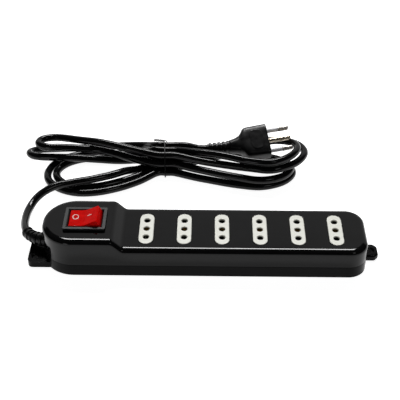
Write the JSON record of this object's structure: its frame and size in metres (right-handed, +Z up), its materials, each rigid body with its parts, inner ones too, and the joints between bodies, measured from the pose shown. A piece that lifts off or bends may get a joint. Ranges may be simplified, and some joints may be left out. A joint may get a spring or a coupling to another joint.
{
  "type": "switched power strip",
  "caption": "Low black power strip with a row of pale three-hole sockets, a red lit rocker switch, mounting ears and a coiled, tied mains cord with a three-pin plug.",
  "frame": {"origin": "centre of the strip's flat underside", "axes": "+X along the strip away from the cord end, +Y towards the coiled cord, +Z up out of the socket faces"},
  "size_m": [0.2845, 0.1663, 0.0384],
  "materials": {
    "black_housing": "high gloss",
    "zinc_steel": "zinc plated",
    "ivory_insert": "semi gloss",
    "contact_brass": "stamped sheet",
    "switch_black": "satin",
    "rocker_red": "translucent gloss",
    "plunger_white": "smooth moulded",
    "spring_steel": "drawn wire",
    "lamp_glass": "clear",
    "resistor_body": "lacquered",
    "brown_core": "smooth PVC",
    "blue_core": "smooth PVC",
    "green_yellow_core": "smooth PVC",
    "varistor_epoxy": "dipped epoxy",
    "cord_sheath": "glossy PVC",
    "tie_sleeve": "plastic covered wire",
    "plug_moulding": "glossy PVC",
    "bridge_nylon": "smooth moulded",
    "nickel_pins": "nickel plated",
    "earth_pin_brass": "polished",
    "sleeve_white": "smooth moulded"
  },
  "bodies": {
    "strip": {"lower_housing": "black_housing", "upper_housing": "black_housing", "housing_screw_1": "zinc_steel", "housing_screw_2": "zinc_steel", "housing_screw_3": "zinc_steel", "housing_screw_4": "zinc_steel", "housing_screw_5": "zinc_steel", "housing_screw_6": "zinc_steel", "socket_insert_1": "ivory_insert", "socket_insert_2": "ivory_insert", "socket_insert_3": "ivory_insert", "socket_insert_4": "ivory_insert", "socket_insert_5": "ivory_insert", "socket_insert_6": "ivory_insert", "live_busbar": "contact_brass", "earth_busbar": "contact_brass", "neutral_busbar": "contact_brass", "common_terminal_1": "contact_brass", "common_terminal_2": "contact_brass", "load_terminal_1": "contact_brass", "load_terminal_2": "contact_brass", "switch_housing": "switch_black", "lamp_lead_1": "spring_steel", "lamp_lead_2": "spring_steel", "neon_lamp": "lamp_glass", "lamp_resistor": "resistor_body", "live_core": "brown_core", "switched_live_link": "brown_core", "plug_core_live": "brown_core", "neutral_core": "blue_core", "switched_neutral_link": "blue_core", "plug_core_neutral": "blue_core", "earth_core": "green_yellow_core", "plug_core_earth": "green_yellow_core", "varistor": "varistor_epoxy", "power_cord": "cord_sheath", "strain_relief": "cord_sheath", "twist_tie": "tie_sleeve", "plug_body": "plug_moulding", "plug_bridge": "bridge_nylon", "plug_pin_live": "nickel_pins", "plug_pin_neutral": "nickel_pins", "plug_pin_earth": "earth_pin_brass", "pin_sleeve_live": "sleeve_white", "pin_sleeve_neutral": "sleeve_white"},
    "rocker": {"rocker": "rocker_red", "plunger_1": "plunger_white", "plunger_2": "plunger_white", "plunger_spring_1": "spring_steel", "plunger_spring_2": "spring_steel"},
    "blade_1": {"contact_blade_1": "contact_brass"},
    "blade_2": {"contact_blade_2": "contact_brass"}
  },
  "joints": [
    {"name": "rocker_tilt", "type": "hinge", "parent": "strip", "child": "rocker", "pos_m": [-0.088, 0, 0.0304], "axis": [0, 1, 0], "range_deg": [0, 26]},
    {"name": "blade_1_tilt", "type": "hinge", "parent": "strip", "child": "blade_1", "pos_m": [-0.088, -0.005, 0.0173], "axis": [0, 1, 0], "range_deg": [-12, 0]},
    {"name": "blade_2_tilt", "type": "hinge", "parent": "strip", "child": "blade_2", "pos_m": [-0.088, 0.005, 0.0173], "axis": [0, 1, 0], "range_deg": [-12, 0]}
  ],
  "couplings": [
    {"joint": "blade_1_tilt", "follows": "rocker_tilt", "ratio": -0.4615},
    {"joint": "blade_2_tilt", "follows": "rocker_tilt", "ratio": -0.4615}
  ]
}
